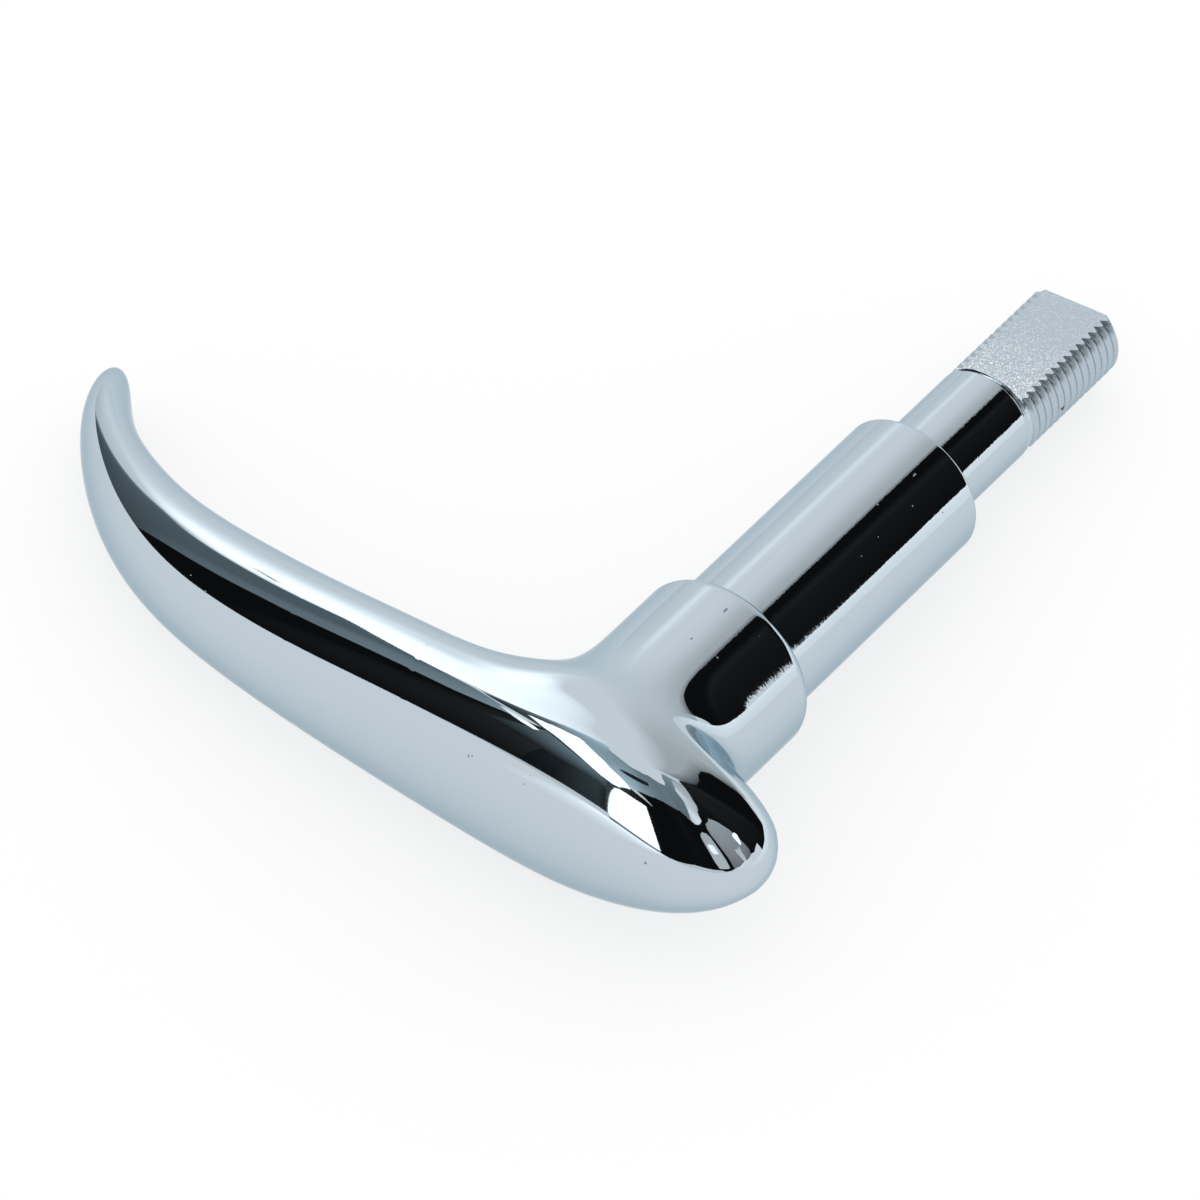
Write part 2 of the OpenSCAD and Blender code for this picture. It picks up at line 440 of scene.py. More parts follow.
def casting():
    """One closed mesh, from the middle of the shaft's end face to the tip of the lever."""
    threads = thread_rings()
    smooth = [turned_rings(), fan_rings(), square_rings(), free_rings()]
    rings = np.concatenate([threads] + [points for points, _ in smooth])
    normals = np.concatenate([np.zeros_like(threads)] + [n for _, n in smooth])
    count = len(rings) * AROUND
    tip = np.array([0.0])
    ends = [[0, SHAFT_LEN, 0], [place_at(tip)[0], centre_at(tip)[0], 0]]
    points = np.concatenate([rings.reshape(-1, 3), ends])
    index = np.arange(count).reshape(-1, AROUND)
    after = np.roll(index, -1, 1)
    sides = np.stack([index[:-1], after[:-1], after[1:], index[1:]], -1)
    faces = sides.reshape(-1, 4).tolist()
    faces += [(count, b, a) for a, b in zip(index[0].tolist(), after[0].tolist())]
    faces += [(count + 1, a, b) for a, b in zip(index[-1].tolist(), after[-1].tolist())]
    mesh = bpy.data.meshes.new("handle_casting")
    mesh.from_pydata([tuple(p) for p in points * MM], [], faces)
    for poly in mesh.polygons:
        poly.use_smooth = True
    mesh.set_sharp_from_angle(angle=SHARP)
    # the exact normals of the smooth part; zeros keep the mesh's own, on the thread and its wall
    exact = np.zeros((count + 2, 3))
    exact[:count] = normals.reshape(-1, 3)
    tip_turn = math.radians(curve(STATION_TURN, tip)[0])
    exact[-1] = (-math.cos(tip_turn), math.sin(tip_turn), 0)
    loop_normals = exact[[loop.vertex_index for loop in mesh.loops]]
    # the faces of the wall between thread and groove start after those of the thread's rings
    wall = (len(threads) - 1) * AROUND
    for poly in mesh.polygons[wall:wall + AROUND]:
        loop_normals[poly.loop_start:poly.loop_start + poly.loop_total] = 0
    mesh.normals_split_custom_set(loop_normals.tolist())
    return mesh


mesh = casting()
handle = put_in_scene("handle_casting", mesh)

# the order in which the materials are added to the mesh below
PLATING_SLOT, FLAT_SLOT, THREAD_SLOT = range(3)
# a face of a flat lies at most this much below it, mm, and is at least this level
FLAT_SINK = 0.1
FLAT_LEVEL = 0.75


def give_materials(mesh):
    """Gives the two flats and the thread between them their own slots."""
    first, last = (THREAD_Y + END_GAP) * MM, (SHAFT_LEN - END_GAP) * MM
    for poly in mesh.polygons:
        poly.material_index = PLATING_SLOT
        if first < poly.center.y < last:
            high = abs(poly.center.z) > (FLAT_Z - FLAT_SINK) * MM
            level = abs(poly.normal.z) > FLAT_LEVEL
            poly.material_index = FLAT_SLOT if high and level else THREAD_SLOT


give_materials(mesh)


# materials
CHROME = (0.52, 0.60, 0.655, 1)
CHROME_PITTED = (0.30, 0.34, 0.37, 1)
CHROME_THREAD = (0.47, 0.55, 0.61, 1)
CHROME_CAST = (0.44, 0.52, 0.58, 1)
# white of the painted glints on the cast flats
PAINTED_GLINT = (1.0, 1.0, 1.0, 1)
# tint of the reflection at grazing angles: partly chrome's own dip there, partly painted shade that
# darkens the rims the way the table's shadow would in their reflection
EDGE_TINT_AND_SHADE = (0.60, 0.69, 0.74, 1)
RUST = (0.14, 0.07, 0.045, 1)

# pits and scratches in the plating: place in mm, radius in mm, stretch along Y
PITS = [
    ((-8.7, -26.7, 4.3), 0.13, 1), ((-8.3, -26.7, 4.5), 0.08, 1), ((10.5, -27.0, 1.6), 0.15, 1),
    ((2.0, -2.9, 8.7), 0.1, 3), ((1.75, -7.6, 8.8), 0.07, 3), ((-43.5, -21.9, 5.0), 0.07, 1),
    ((-42.5, -22.3, 4.8), 0.05, 1), ((-41.3, -22.6, 4.6), 0.07, 2), ((-42.0, -20.8, 6.6), 0.05, 1),
    ((-39.8, -20.3, 7.3), 0.05, 1), ((-2.4, -26.9, 4.4), 0.08, 2), ((-1.9, -26.6, 5.4), 0.06, 3),
    ((3.7, 23.4, 6.2), 0.07, 3), ((5.2, 20.9, 5.0), 0.06, 1), ((3.4, 18.1, 6.4), 0.07, 1),
    ((6.6, 23.5, 3.0), 0.08, 1), ((6.4, 22.5, 3.3), 0.06, 1), ((5.1, 15.7, 5.1), 0.05, 1),
    ((5.3, 12.9, 5.0), 0.04, 1), ((5.4, -2.7, 7.2), 0.05, 1), ((4.4, -7.5, 7.8), 0.06, 1),
]
# a pit's edge, as shares of its radius: where it starts, where it ends, how far it wanders
PIT_START = 0.6
PIT_END = 0.9
PIT_WANDER = 0.5
# and how much every edge is widened, the lumps that it wanders in and its depth, mm
PIT_SOFT = 0.03
PIT_LUMP = 0.15
PIT_DEPTH = 0.03
PIT_ROUGHNESS = 0.5

# the waves of the polished plating: lump and depth of the fine and of the broad ones, mm
POLISHED_ROUGHNESS = 0.03
FINE_LUMP = 0.3
FINE_DEPTH = 0.0026
BROAD_LUMP = 3.0
BROAD_DEPTH = 0.008
# their strength on the lever and on the turned parts, and what the shaft has more than the sleeve
LEVER_WAVES = 0.05
TURNED_WAVES = 0.9
SHAFT_WAVES = 1.2
# heights between which the boss takes them up, and half the length over which the shaft does, mm
WAVES_FROM = -14
WAVES_TO = -7
SHAFT_CHANGE = 0.5

# the thread's satin plating and its rusty speck, mm
THREAD_ROUGHNESS = 0.36
THREAD_LUMP = 0.5
THREAD_BUMP = 0.02
RUST_AT = (4.84, 45.04, -0.74)
RUST_START = 0.38
RUST_END = 0.55
RUST_WANDER = 0.4
RUST_LUMP = 0.3
RUST_ROUGHNESS = 0.8
RUST_METAL = 0.2

# the cast flats: share of the length beside the shaft's end that stays calm, and how calm
CALM_SHARE = 0.3
CALM = 0.25
CAST_ROUGHNESS = 0.3
CAST_LUMP = 0.22
CAST_BUMP = 0.05
# size of the painted glints' spots, mm: white spots that stand in for light sparkling off the cast grain
PAINTED_GLINT_LUMP = 0.16
# noise between these two turns into painted glints: white spots that stand in for light sparkling off the
# cast grain
PAINTED_GLINT_FROM = 0.5
PAINTED_GLINT_TO = 0.68


class Nodes:
    """A material and short ways to add nodes to it."""

    def __init__(self, name):
        self.material = bpy.data.materials.new(name)
        self.material.use_nodes = True
        self.tree = self.material.node_tree
        self.shader = self.tree.nodes["Principled BSDF"]

    def add(self, kind, **inputs):
        node = self.tree.nodes.new(kind)
        for key, value in inputs.items():
            self.feed(node.inputs[key], value)
        return node

    def feed(self, socket, value):
        if isinstance(value, bpy.types.NodeSocket):
            self.tree.links.new(value, socket)
        else:
            socket.default_value = value

    def surface(self, **inputs):
        """Sets the shader's inputs, whose names are written with _ for a space."""
        for key, value in inputs.items():
            self.feed(self.shader.inputs[key.replace("_", " ")], value)

    def place(self):
        """The place on the object, in metres."""
        return self.add("ShaderNodeTexCoord").outputs["Object"]

    def maths(self, operation, a, b=0.0, c=0.0):
        node = self.tree.nodes.new("ShaderNodeMath")
        node.operation = operation
        for socket, value in zip(node.inputs, (a, b, c)):
            self.feed(socket, value)
        return node.outputs[0]

    def vector(self, operation, a, b=(0, 0, 0)):
        """Vector maths; a length or a distance comes out as a number."""
        node = self.tree.nodes.new("ShaderNodeVectorMath")
        node.operation = operation
        self.feed(node.inputs[0], a)
        self.feed(node.inputs[1], b)
        return node.outputs["Value" if operation in ("LENGTH", "DISTANCE") else "Vector"]

    def ramp(self, value, start, end, low=0.0, high=1.0):
        """value, taken from between start and end to between low and high, with soft ends."""
        node = self.tree.nodes.new("ShaderNodeMapRange")
        node.interpolation_type = "SMOOTHSTEP"
        for socket, given in zip(node.inputs[:5], (value, start, end, low, high)):
            self.feed(socket, given)
        return node.outputs[0]

    def noise(self, place, size, detail=2.0):
        """Noise with lumps of the given size in mm."""
        node = self.add("ShaderNodeTexNoise", Scale=1 / (size * MM), Detail=detail)
        self.feed(node.inputs["Vector"], place)
        return node.outputs["Fac"]

    def bump(self, height, depth, normal=None):
        """A bump whose height of 1 stands for depth mm."""
        node = self.add("ShaderNodeBump", Strength=1.0, Height=height)
        self.feed(node.inputs["Distance"], depth * MM)
        if normal is not None:
            self.feed(node.inputs["Normal"], normal)
        return node.outputs["Normal"]

    def mix_colour(self, share, a, b):
        node = self.tree.nodes.new("ShaderNodeMix")
        node.data_type = "RGBA"
        # of the node's many sockets, those that mix colours
        self.feed(node.inputs[0], share)
        self.feed(node.inputs[6], a)
        self.feed(node.inputs[7], b)
        return node.outputs[2]


def metres(point):
    return tuple(v * MM for v in point)


def pit_mask(n, place):
    """1 in the pits of the plating, 0 elsewhere."""
    total = None
    jitter = n.maths("MULTIPLY_ADD", n.noise(place, PIT_LUMP, 0.0), 2.0, -1.0)
    for at, radius, stretch in PITS:
        away = n.vector("SUBTRACT", place, metres(at))
        length = n.vector("LENGTH", n.vector("MULTIPLY", away, (1, 1 / stretch, 1)))
        ragged = n.maths("MULTIPLY_ADD", jitter, PIT_WANDER * radius * MM, length)
        one = n.ramp(ragged, PIT_START * radius * MM, (PIT_END * radius + PIT_SOFT) * MM, 1.0, 0.0)
        total = one if total is None else n.maths("MAXIMUM", total, one)
    return total


def polished():
    """Bright plating: mirror-like on the lever, a little wavy on the turned parts, with a few pits."""
    n = Nodes("chrome_polished")
    place = n.place()
    y = n.add("ShaderNodeSeparateXYZ", Vector=place).outputs["Y"]
    turned = n.ramp(y, WAVES_FROM * MM, WAVES_TO * MM, LEVER_WAVES, TURNED_WAVES)
    shaft = n.ramp(y, (SLEEVE_LEN - SHAFT_CHANGE) * MM, (SLEEVE_LEN + SHAFT_CHANGE) * MM, 0.0, SHAFT_WAVES)
    waves = n.maths("ADD", turned, shaft)
    fine = n.maths("MULTIPLY", n.noise(place, FINE_LUMP, 2.0), waves)
    broad = n.maths("MULTIPLY", n.noise(place, BROAD_LUMP, 1.0), waves)
    pits = pit_mask(n, place)
    normal = n.bump(broad, BROAD_DEPTH)
    normal = n.bump(fine, FINE_DEPTH, normal)
    normal = n.bump(n.maths("MULTIPLY", pits, -1.0), PIT_DEPTH, normal)
    # the edge tint paints shade into the rims' reflection, beside chrome's own dip at grazing angles
    n.surface(Base_Color=n.mix_colour(pits, CHROME, CHROME_PITTED), Metallic=1.0,
              Roughness=n.ramp(pits, 0.0, 1.0, POLISHED_ROUGHNESS, PIT_ROUGHNESS),
              Specular_Tint=EDGE_TINT_AND_SHADE, Normal=normal)
    return n.material


def satin_thread():
    """The thread's plating, filled and satin, with one rusty speck."""
    n = Nodes("chrome_thread")
    place = n.place()
    away = n.vector("DISTANCE", place, metres(RUST_AT))
    ragged = n.maths("MULTIPLY_ADD", n.noise(place, RUST_LUMP), RUST_WANDER * MM, away)
    rust = n.ramp(ragged, RUST_START * MM, RUST_END * MM, 1.0, 0.0)
    # the edge tint paints shade into the rims' reflection, beside chrome's own dip at grazing angles
    n.surface(Base_Color=n.mix_colour(rust, CHROME_THREAD, RUST),
              Metallic=n.ramp(rust, 0.0, 1.0, 1.0, RUST_METAL),
              Roughness=n.ramp(rust, 0.0, 1.0, THREAD_ROUGHNESS, RUST_ROUGHNESS),
              Specular_Tint=EDGE_TINT_AND_SHADE, Normal=n.bump(n.noise(place, THREAD_LUMP, 3.0), THREAD_BUMP))
    return n.material


def cast_flat():
    """The flats' plating over cast metal: duller, with coarse grains, and near the relief groove painted
    glints, white spots that stand in for light sparkling off the grain.
    """
    n = Nodes("chrome_cast")
    place = n.place()
    y = n.add("ShaderNodeSeparateXYZ", Vector=place).outputs["Y"]
    rough = n.ramp(y, (SHAFT_LEN - CALM_SHARE * THREAD_LEN) * MM, THREAD_Y * MM, CALM, 1.0)
    grains = n.maths("MULTIPLY", n.noise(place, CAST_LUMP, 3.0), rough)
    # painted glints: white spots in the base colour that stand in for light sparkling off the cast grain
    painted_glints = n.maths("MULTIPLY", n.ramp(n.noise(place, PAINTED_GLINT_LUMP, 1.0), PAINTED_GLINT_FROM, PAINTED_GLINT_TO), rough)
    n.surface(Base_Color=n.mix_colour(painted_glints, CHROME_CAST, PAINTED_GLINT), Metallic=1.0,
              Roughness=CAST_ROUGHNESS, Normal=n.bump(grains, CAST_BUMP))
    return n.material


mesh.materials.append(polished())
mesh.materials.append(cast_flat())
mesh.materials.append(satin_thread())
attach(handle, "root")
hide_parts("handle")

# camera, solved from the edges of shaft, sleeve and boss; place in mm
CAMERA_AT = Vector((368.226, -468.019, 532.434)) * MM
CAMERA_RIGHT = Vector((0.80223551, 0.59455654, -0.0540435))
CAMERA_UP = Vector((-0.3616392, 0.55598702, 0.7483953))
CAMERA_LOOK = Vector((-0.47501081, 0.58084504, -0.66104749))
CAMERA_SENSOR = 36
CAMERA_LENS = 270
CAMERA_NEAREST = 0.05


def make_camera():
    data = bpy.data.cameras.new("camera")
    data.sensor_width = CAMERA_SENSOR
    data.lens = CAMERA_LENS
    data.clip_start = CAMERA_NEAREST
    camera = put_in_scene("camera", data)
    turn = Matrix((CAMERA_RIGHT, CAMERA_UP, -CAMERA_LOOK)).transposed()
    camera.matrix_world = Matrix.Translation(CAMERA_AT) @ turn.to_4x4()
    bpy.context.scene.camera = camera


make_camera()

# the table that it rests on: its upward normal, its depth below the origin and its size in metres
UP = Vector((0.08123, -0.08463, 0.99310)).normalized()
TABLE_DROP = 9.551 * MM
TABLE_R = 3.0
TABLE_SIDES = 96
# its grey takes the shadow, and its glow makes up the rest of a little more than white
TABLE_GREY = 0.32
TABLE_LEVEL = 1.01
# directions in the studio are taken from its middle: away from the camera, and to its right
AHEAD = (CAMERA_LOOK - UP * CAMERA_LOOK.dot(UP)).normalized()
RIGHT = AHEAD.cross(UP)
MIDDLE = Vector((-0.02, 0.0, 0.0))


def direction(azimuth, elevation):
    """Unit vector; azimuth 0 points away from the camera and 90 to its right."""
    a, e = math.radians(azimuth), math.radians(elevation)
    return math.cos(e) * (math.cos(a) * AHEAD + math.sin(a) * RIGHT) + math.sin(e) * UP


def on_table(azimuth, distance, height=0.0):
    """Point at a distance from the middle, height above the table."""
    foot = MIDDLE - UP * (MIDDLE.dot(UP) + TABLE_DROP)
    return foot + distance * direction(azimuth, 0) + height * UP


def table():
    """A round white sheet that takes the handle's shadow."""
    ring = [on_table(a, TABLE_R) for a in np.linspace(0, 360, TABLE_SIDES, endpoint=False).tolist()]
    mesh = bpy.data.meshes.new("table")
    mesh.from_pydata([tuple(p) for p in ring], [], [tuple(range(len(ring)))[::-1]])
    obj = put_in_scene("table", mesh)
    n = Nodes("table_white")
    n.surface(Base_Color=(TABLE_GREY, TABLE_GREY, TABLE_GREY, 1), Roughness=1.0,
              Specular_IOR_Level=0.0, Emission_Color=(1, 1, 1, 1),
              Emission_Strength=TABLE_LEVEL - TABLE_GREY)
    mesh.materials.append(n.material)


table()

# what the chrome reflects
TINTS = {"plain": (1, 1, 1), "slate": (0.74, 0.92, 1.0)}
# columns and rows of a card are at most this many degrees apart
CARD_STEP = 3.0
# rows of a light patch on the table
PATCH_ROWS = 12


def card_material():
    """Plain glow whose colour is stored at the card's points."""
    m = bpy.data.materials.new("studio_card")
    m.use_nodes = True
    nodes, links = m.node_tree.nodes, m.node_tree.links
    nodes.clear()
    out = nodes.new("ShaderNodeOutputMaterial")
    glow = nodes.new("ShaderNodeEmission")
    level = nodes.new("ShaderNodeAttribute")
    level.attribute_name = "level"
    links.new(level.outputs["Color"], glow.inputs["Color"])
    links.new(glow.outputs["Emission"], out.inputs["Surface"])
    return m


CARD = card_material()


def bounce_only(obj):
    """Leaves the object to reflections alone."""
    obj.visible_camera = False
    obj.visible_diffuse = False
    obj.visible_shadow = False
    obj.visible_transmission = False
    obj.visible_volume_scatter = False


def refined(columns):
    """Columns with more in between, at most a card's step apart."""
    fine = []
    for p, q in zip(columns[:-1], columns[1:]):
        n = max(1, math.ceil(abs(q[0] - p[0]) / CARD_STEP))
        fine += [[a + (b - a) * i / n for a, b in zip(p, q)] for i in range(n)]
    return fine + [list(columns[-1])]


def glowing_sheet(name, tint, columns, rows, point):
    """A sheet that only the chrome sees, through point(azimuth, start, end, share), given by
    columns of (azimuth, start, end, level at the start, level at the end)."""
    points, colours = [], []
    for azimuth, start, end, first, last in columns:
        for k in np.linspace(0, 1, rows).tolist():
            points.append(tuple(point(azimuth, start, end, k)))
            colours.append([*(np.array(TINTS[tint]) * (first + (last - first) * k)), 1])
    faces = [(i * rows + k, (i + 1) * rows + k, (i + 1) * rows + k + 1, i * rows + k + 1)
             for i in range(len(columns) - 1) for k in range(rows - 1)]
    mesh = bpy.data.meshes.new(name)
    mesh.from_pydata(points, [], faces)
    level = mesh.attributes.new("level", "FLOAT_COLOR", "POINT")
    level.data.foreach_set("color", np.array(colours, np.float32).ravel())
    mesh.materials.append(CARD)
    obj = put_in_scene(name, mesh)
    bounce_only(obj)


def card(name, distance, tint, columns):
    """A card on a sphere round the middle, whose columns run from a lowest to a highest elevation."""
    def point(azimuth, low, high, share):
        return MIDDLE + distance * direction(azimuth, low + (high - low) * share)

    fine = refined(columns)
    rows = math.ceil(max(high - low for _, low, high, _, _ in fine) / CARD_STEP) + 1
    glowing_sheet(name, tint, fine, rows, point)


def floor_glow(name, height, columns):
    """A light patch on the table, whose columns run from a nearest to a farthest distance in metres."""
    def point(azimuth, near, far, share):
        return on_table(azimuth, near * (far / near) ** share, height)

    glowing_sheet(name, "plain", refined(columns), PATCH_ROWS, point)


# each card is its distance in metres, its tint and its columns of (azimuth, lowest, highest,
# level there, level there); where two overlap, the chrome sees the nearer one
BLACK = 0.006
CARDS = {
    # the dark room: right of the object, and from there round behind the camera
    "room_right": (2.7, "plain", [
        (47, 6, 9, .02, .02), (49, 5.5, 26, BLACK, BLACK), (53, 5, 38, BLACK, BLACK),
        (57, 3, 45, BLACK, BLACK), (60, -2, 48, BLACK, BLACK), (64, -2, 52, BLACK, BLACK),
        (68, -2, 56, BLACK, BLACK), (70, -2, 60, BLACK, .01), (72.5, -2, 65, BLACK, .02),
        (75, -2, 69, BLACK, .03), (79, -2, 70, BLACK, .02), (86, -2, 69.7, BLACK, .02),
        (96, -2, 69.3, BLACK, .02), (105, -2, 69, BLACK, .015), (112, -2, 68.3, BLACK, .01),
        (120, -2, 66.5, BLACK, .01), (130, -2, 65.5, BLACK, .01), (140, -2, 64.5, BLACK, BLACK),
        (143, -2, 62.3, BLACK, BLACK), (147, -2, 60, BLACK, BLACK), (154, -2, 59, BLACK, BLACK),
        (160, -2, 57.3, BLACK, BLACK), (167, -2, 56.5, BLACK, BLACK), (174, -2, 60, BLACK, BLACK),
        (180, -2, 62, BLACK, BLACK),
    ]),
    "room_left": (2.7, "plain", [
        (-180, -2, 62, BLACK, BLACK), (-170, -2, 61, BLACK, .01), (-160, -2, 60, BLACK, BLACK),
        (-152, -2, 57.5, BLACK, BLACK), (-148, -2, 55, BLACK, BLACK), (-145, -2, 53.5, BLACK, BLACK),
        (-140, -2, 50.5, .008, .01), (-137.5, -2, 48, .01, .02), (-134.5, -2, 45, .012, .03),
        (-132, -2, 42, .012, .05), (-130, -2, 38.5, .015, .06), (-128, -2, 36.5, .02, .08),
        (-124, -2, 36, .02, .08), (-116, -2, 39.5, .01, .08), (-106, -2, 43.5, BLACK, .05),
        (-97, -2, 45, BLACK, .03), (-92, -3, 38, BLACK, BLACK), (-90, -3, 31, BLACK, BLACK),
        (-82, -3, 28, BLACK, BLACK), (-77, -3, 15, BLACK, BLACK), (-72, -3, -1, BLACK, BLACK),
    ]),
    # the dark room's left edge, which goes from dark to light over some degrees, and its haze
    "room_rim": (2.75, "plain", [
        (38, 4, 10, .73, .73), (43, 5, 16, .5, .68), (46, 6, 30, .2, .65), (48, 6, 34, .04, .64),
        (51, 20, 44, .02, .62), (56, 36, 53, .02, .6), (60, 44, 60, .03, .58), (64, 50, 66, .03, .57),
        (68, 55, 74, .05, .58), (72.5, 64, 80, .1, .65),
    ]),
    "room_haze": (2.82, "plain", [
        (8, -2, 62, 1, 1), (20, -2, 62, .94, .94), (30, -2, 62, .84, .84), (38, -2, 62, .73, .73),
        (46, 0, 62, .65, .65), (56, 30, 66, .6, .6), (66, 45, 74, .55, .6), (76, 60, 78, .55, .65),
    ]),
    "room_haze_top": (2.82, "plain", [
        (8, 62, 84, 1, 1), (20, 62, 84, .94, 1), (30, 62, 84, .84, 1), (38, 62, 84, .73, 1),
        (46, 62, 84, .65, 1), (56, 66, 85, .6, 1), (66, 74, 86, .6, 1), (76, 78, 86, .65, 1),
    ]),
    # slate-coloured walls
    "slate_wall": (2.8, "slate", [
        (-99, 27, 35, .3, .45), (-94, 27, 38, .35, .55), (-88, 26, 41, .28, .45),
        (-82, 24, 42, .2, .36), (-76, -3, 43, .1, .28), (-70, -3, 43, .1, .18),
        (-55, -3, 43.5, .12, .17), (-44, -3, 42, .12, .2), (-38, -3, 41.5, .14, .25),
        (-36, -3, 41, .4, .6), (-34.5, -3, 40.5, .8, .93),
    ]),
    "slate_top": (2.8, "slate", [
        (-180, 61, 78, .3, .35), (-165, 60, 78, .3, .3), (-155, 57, 78, .35, .3),
        (-148, 54, 76, .45, .28), (-142, 51, 75, .55, .28), (-137, 47, 74, .8, .3),
        (-130, 48, 72, .8, .4), (-120, 52, 72, .6, .45), (-110, 55, 72, .6, .45),
        (-100, 58, 72, .55, .6), (-90, 56, 74, .4, .8), (-84, 52, 74, .25, .9), (-78, 51, 68, .2, .95),
        (-75, 52, 62, .6, 1),
    ]),
    "slate_blob": (2.75, "slate", [
        (-150, 65, 68.5, .05, .03), (-143, 62, 66.5, .02, .03), (-136, 59, 64, .02, .03),
        (-130, 57, 61, .03, .05), (-127, 57, 59, .1, .1),
    ]),
    "slate_corner": (2.75, "slate", [
        (-97, 43, 45, .08, .06), (-90, 43, 47, .08, .08), (-86, 42.8, 52, .05, .18),
        (-82, 42.8, 57, .03, .25), (-79, 43, 56, .05, .3), (-75, 44, 52, .12, .35),
    ]),
    "slate_under": (2.6, "slate", [
        (-126, 25, 33, .05, .2), (-120, 24, 35.5, .04, .3), (-115, 22, 37.5, .02, .3),
        (-108, 22, 40, .02, .3), (-102, 22, 42, .015, .25), (-98, 24, 43, .03, .2),
    ]),
    "slate_low": (2.6, "slate", [
        (-126, 3, 25, .012, .03), (-124, 3, 25, .05, .07), (-121, 3, 24, .045, .06),
        (-116, 3, 23, .015, .03), (-110, 3, 22, .01, .02),
    ]),
    "slate_strip": (2.6, "plain", [
        (-146, 45, 46, .5, .5), (-142, 45.5, 48, .8, .8), (-138, 45.3, 48.3, .9, .9),
        (-135.5, 45.2, 46.5, .9, .9),
    ]),
    "slate_spot": (2.5, "plain", [
        (-99.5, 36, 38.5, 2, 2), (-96, 36, 39.5, 2, 2), (-93, 37, 39.8, 1.5, 1.5),
        (-86.5, 40, 41, 1.2, 1.2),
    ]),
    # a tall window behind the camera, on its left, and the light over it
    "window": (2.5, "plain", [
        (-141.4, 30, 39.5, 2, 2), (-141, 2.2, 39.6, 2, 2), (-139, 2.2, 39, 2, 2), (-137, 2.2, 38, 2, 2),
        (-133, 2.2, 36.5, 2, 2), (-130, 2.2, 35, 2, 2), (-128.5, 2.2, 32.5, 2, 2),
        (-127.5, 2.2, 26, 2, 2), (-126.5, 2.2, 15, 2, 2), (-125.5, 2.2, 4, 2, 2),
    ]),
    "window_top": (2.5, "plain", [
        (-134.5, 44, 45, 2, 2), (-132, 41, 47.7, 2, 2), (-130, 37, 49, 2, 2), (-128, 35, 49.7, 2, 2),
        (-124, 34.8, 51, 2, 2), (-120, 36.5, 53.5, 2, 2), (-115, 39, 55, 2, 2), (-110, 41, 56.5, 2, 2),
        (-104, 43.2, 58, 2, 2), (-100, 44, 59.2, 2, 2), (-95, 44.5, 59.5, 2, 2), (-92, 45.2, 57, 2, 2),
        (-89, 46, 55, 2, 2), (-86, 46.5, 51, 2, 2), (-83.5, 47, 48, 2, 2),
    ]),
    "window_foot": (2.5, "plain", [
        (-141, .4, 2.2, .35, .35), (-125.5, .4, 2.2, .35, .35),
    ]),
    # the light over the lever: crisp below where it is near, soft towards the far side
    "top_light": (2.85, "plain", [
        (-80, 53, 57, 1.4, 1.4), (-77, 50, 57, 1.7, 1.5), (-74, 48, 57, 1.9, 1.6),
        (-70, 43, 56, 2, 1.6), (-62, 43, 55, 2, 1.6), (-57, 43, 54, 2, 1.6), (-52, 43.4, 52, 2, 1.7),
        (-45, 42, 49, 2, 1.75), (-40, 41.5, 47.5, 2, 1.8), (-33, 40, 46, 2, 1.8),
        (-25, 37, 43, 1.95, 1.7), (-18, 34, 39.5, 1.7, 1.4), (-10, 29.5, 34, 1.35, 1.15),
        (0, 23, 27, 1.12, 1.05), (12, 15, 18, 1, 1),
    ]),
    "top_light_fade": (2.85, "plain", [
        (-86, 54, 68, 1, 1), (-80, 57, 76, 1.4, 1), (-77, 57, 78, 1.5, 1), (-70, 56, 78, 1.6, 1),
        (-62, 55, 76, 1.6, 1), (-57, 54, 73, 1.6, 1), (-52, 52, 68, 1.7, 1), (-45, 49, 62, 1.75, 1),
        (-40, 47.5, 58, 1.8, 1), (-33, 46, 54, 1.8, 1), (-25, 43, 50, 1.7, 1), (-18, 39.5, 46, 1.4, 1),
        (-10, 34, 41, 1.15, 1), (0, 27, 35, 1.05, 1), (12, 18, 27, 1, 1),
    ]),
    "top_light_foot": (2.74, "plain", [
        (-52, 42, 43.4, .3, 2), (-48, 39.5, 43, .22, 2), (-44, 36.5, 42, .2, 2), (-40, 35, 41.5, .2, 2),
        (-37.5, 34, 41, .25, 2), (-35.5, 33.5, 40.7, .7, 2), (-34, 33, 40.3, .93, 2),
        (-30, 31, 39, .95, 2), (-25, 29, 37, .96, 1.95), (-18, 26, 34, .97, 1.7),
        (-10, 21, 29.5, .98, 1.35), (0, 14, 23, 1, 1.12), (12, 6, 15, 1, 1),
    ]),
    "front": (2.88, "plain", [
        (-35, -2, 46, .8, 1), (-30, -2, 46, .76, 1), (-20, -2, 42, .83, 1), (-8, -2, 38, .94, 1),
        (2, -2, 36, 1, 1),
    ]),
    # a grey and a light panel behind the camera, on its right
    "panel_grey": (2.5, "plain", [
        (110, 42, 46, .4, .4), (112, 24, 49.5, .25, .5), (114, 20, 53, .22, .5),
        (116, 15, 55, .22, .52), (120, 14.5, 57.5, .22, .52), (126, 12, 59.7, .25, .52),
        (134, 11.3, 58.7, .25, .52), (138, 8.7, 58.5, .28, .5), (144, 6, 58, .26, .48),
        (150, 5.8, 54.7, .25, .45), (152.3, 8, 50, .22, .4),
    ]),
    "panel_streak": (2.45, "plain", [
        (123.3, 34.5, 36, .6, .6), (127.5, 26, 34, .7, .7), (128.5, 12, 32, .8, .75),
        (133.5, 11.5, 32, .85, .75), (135.3, 22, 28, .7, .7),
    ]),
    "panel_spot": (2.4, "plain", [
        (107.3, 39.5, 41.5, 2, 2), (110, 38.5, 42.7, 2, 2), (114, 37, 42.7, 2, 2),
        (117, 36, 42.3, 1.8, 1.8), (119.7, 35.7, 38, .9, .9),
    ]),
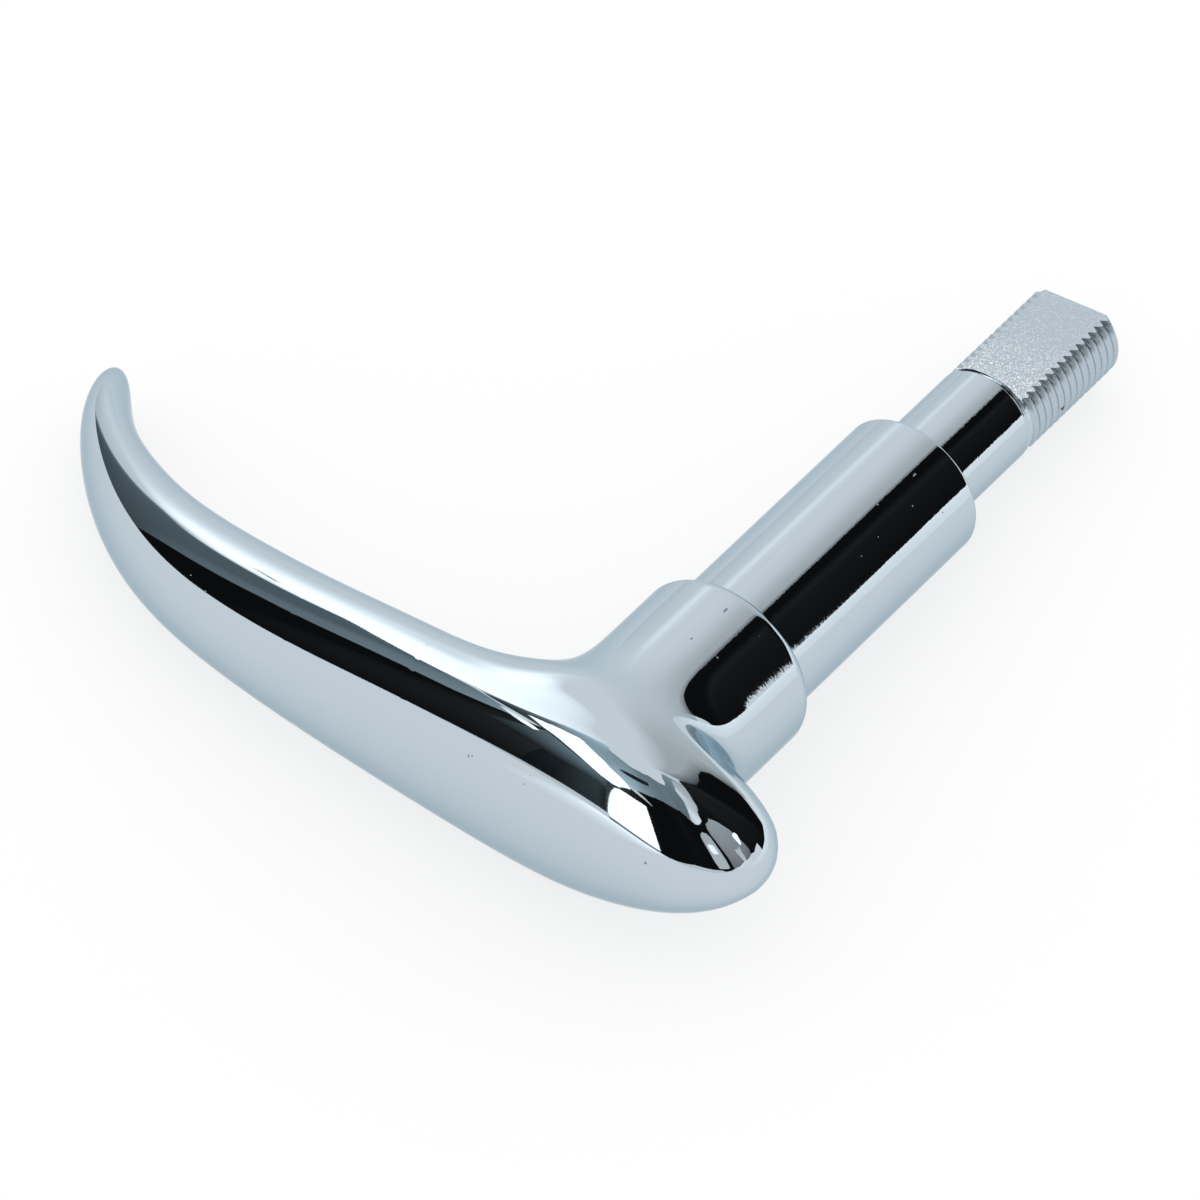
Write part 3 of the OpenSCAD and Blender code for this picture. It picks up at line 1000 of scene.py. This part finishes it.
    "panel_light": (2.5, "plain", [
        (156.7, 7.5, 48, .7, .6), (159, 7, 51, .75, .65), (165, 7, 51.3, .75, .65),
        (170, 8, 49, .75, .65), (172.5, 19, 46, .7, .6), (173.3, 34, 42, .6, .6),
    ]),
    "panel_shine": (2.45, "plain", [
        (160.7, 31, 39, 1, 1), (163, 30, 40.5, 1.4, 1.4), (168, 30, 40.5, 1.6, 1.6),
        (170.7, 33, 39, 1.2, 1.2),
    ]),
    # light low down, and the bright band over the dark room
    "low_right": (2.5, "plain", [
        (92.7, -2, 15, 1, 1.1), (100, -2, 15.5, 1, 1.1), (108, -2, 12.5, 1, 1.05), (115, -2, 15, 1, 1),
        (126, -2, 11.3, 1, 1.1), (134, -2, 11.3, 1, 1.1), (138, -2, 8.7, .95, 1.2),
        (144, -2, 5.8, .95, 1.25), (150, -2, 5.7, .95, .9), (156, -2, 2, .95, .8),
        (163, -2, 1.5, .9, .8), (168, -2, 5, .9, .8), (180, -2, 5.5, .9, .8),
    ]),
    "low_left": (2.5, "plain", [
        (-180, -2, 5.5, .9, .8), (-170, -2, 6, .9, .85), (-164, -2, 6.2, .9, .8), (-156, -2, 3, .9, .8),
        (-150, -2, 1, .9, .8), (-146, -2, .3, .9, .8),
    ]),
    "low_slate": (2.5, "plain", [
        (-125.4, -2, 4, 1, .9), (-118, -2, 3, .95, .8), (-110, -2, 1.5, .9, .7), (-104, -2, 0, .9, .6),
    ]),
    "band_high": (2.5, "plain", [
        (84, 69.5, 73, .45, .5), (90, 69.3, 76, .6, .6), (100, 69, 77, .65, .7),
        (112, 68.3, 77, .65, .7), (120, 66.5, 76.5, .7, .8), (128, 65.5, 76.5, .7, 1.1),
        (136, 65, 75.5, .7, 1.1), (142, 63, 73, .8, 1), (147, 60, 70.5, 1, .9), (152, 59, 69, 1.2, 1),
        (158, 57.5, 66, 1.2, 1.1), (164, 56.5, 63, 1.1, 1), (168, 56.5, 60, .9, .8),
    ]),
    "slate_high": (2.8, "slate", [
        (84, 73, 80, .4, .6), (100, 76, 82, .4, .4), (128, 76, 82, .35, .35), (147, 66, 80, .3, .3),
        (165, 58, 78, .25, .3), (180, 61, 78, .25, .3),
    ]),
}
for name, (distance, tint, columns) in CARDS.items():
    card(name, distance, tint, columns)

# the table is lighter away from the handle on its right and where the window stands; each patch
# lies this much above the one below it
PATCH_LIFT = 0.3 * MM
floor_glow("glow_right", PATCH_LIFT, [
    (34, .1, 2.9, 1, 1), (44, .085, 2.9, 1.1, 1.35), (90, .075, 2.9, 1.15, 1.4),
    (130, .1, 2.9, 1.05, 1.1), (150, .14, 2.9, 1, 1),
])
floor_glow("glow_window", 2 * PATCH_LIFT, [
    (-146, .1, 2.4, 1, 1), (-141, .1, 2.4, 1.05, 2), (-125, .1, 2.4, 1.05, 2), (-119, .1, 2.4, 1, 1),
])

# light and background: a white world, beside the glow of table and cards; there are no lamps
world = bpy.data.worlds.new("studio")
bpy.context.scene.world = world
world.use_nodes = True
world.node_tree.nodes["Background"].inputs["Color"].default_value = (1, 1, 1, 1)
world.node_tree.nodes["Background"].inputs["Strength"].default_value = 1.0
bpy.context.scene.view_settings.view_transform = "Standard"
